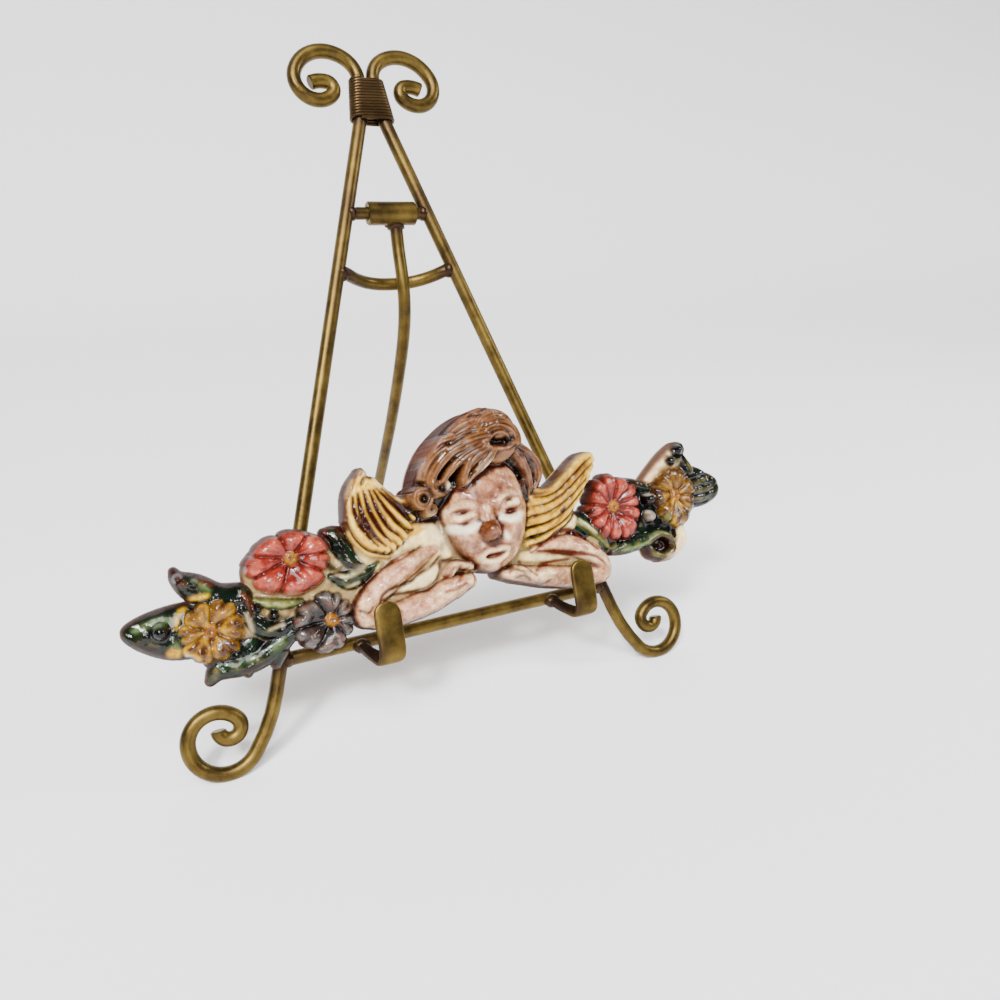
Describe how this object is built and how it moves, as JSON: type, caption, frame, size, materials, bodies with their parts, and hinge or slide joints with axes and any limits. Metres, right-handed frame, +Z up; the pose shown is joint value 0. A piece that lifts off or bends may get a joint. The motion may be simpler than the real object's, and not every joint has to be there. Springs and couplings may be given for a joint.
{
  "type": "cherub wall plaque on easel",
  "caption": "Glazed relief plaque of a winged cherub between flower garlands, held by two prongs on a folding scrolled wire easel.",
  "frame": {"origin": "floor point under the middle of the object's box", "axes": "+Z up, the relief faces -Y and leans back towards +Y, +X to the viewer's right"},
  "size_m": [0.2799, 0.1896, 0.2737],
  "materials": {
    "plaque": "glossy coloured glaze on white earthenware: cream, brown wash, yellow, coral, green",
    "side_rod_left": "antique brass finish, satin, darker at the welds",
    "side_rod_right": "antique brass finish, satin, darker at the welds",
    "foot_scroll_left": "antique brass finish, satin, darker at the welds",
    "foot_scroll_right": "antique brass finish, satin, darker at the welds",
    "top_scroll_left": "antique brass finish, satin, darker at the welds",
    "top_scroll_right": "antique brass finish, satin, darker at the welds",
    "neck_wrap": "dark antique brass wire, satin",
    "hinge_rod": "antique brass finish, satin, darker at the welds",
    "stop_bow": "antique brass finish, satin, darker at the welds",
    "lower_crossbar": "antique brass finish, satin, darker at the welds",
    "hook_left": "antique brass finish, satin, darker at the welds",
    "hook_right": "antique brass finish, satin, darker at the welds",
    "hinge_barrel": "antique brass finish, satin, darker at the welds",
    "rear_leg": "antique brass finish, satin, darker at the welds"
  },
  "bodies": {
    "stand": {"plaque": "plaque", "side_rod_left": "side_rod_left", "side_rod_right": "side_rod_right", "top_scroll_right": "top_scroll_right", "top_scroll_left": "top_scroll_left", "foot_scroll_right": "foot_scroll_right", "foot_scroll_left": "foot_scroll_left", "neck_wrap": "neck_wrap", "hinge_rod": "hinge_rod", "stop_bow": "stop_bow", "lower_crossbar": "lower_crossbar", "hook_left": "hook_left", "hook_right": "hook_right"},
    "leg": {"hinge_barrel": "hinge_barrel", "rear_leg": "rear_leg"}
  },
  "joints": [
    {"name": "leg_fold", "type": "hinge", "parent": "stand", "child": "leg", "pos_m": [-0.00935, -0.00368, 0.20526], "axis": [-1, 0, 0], "range_deg": [0, 33]}
  ]
}
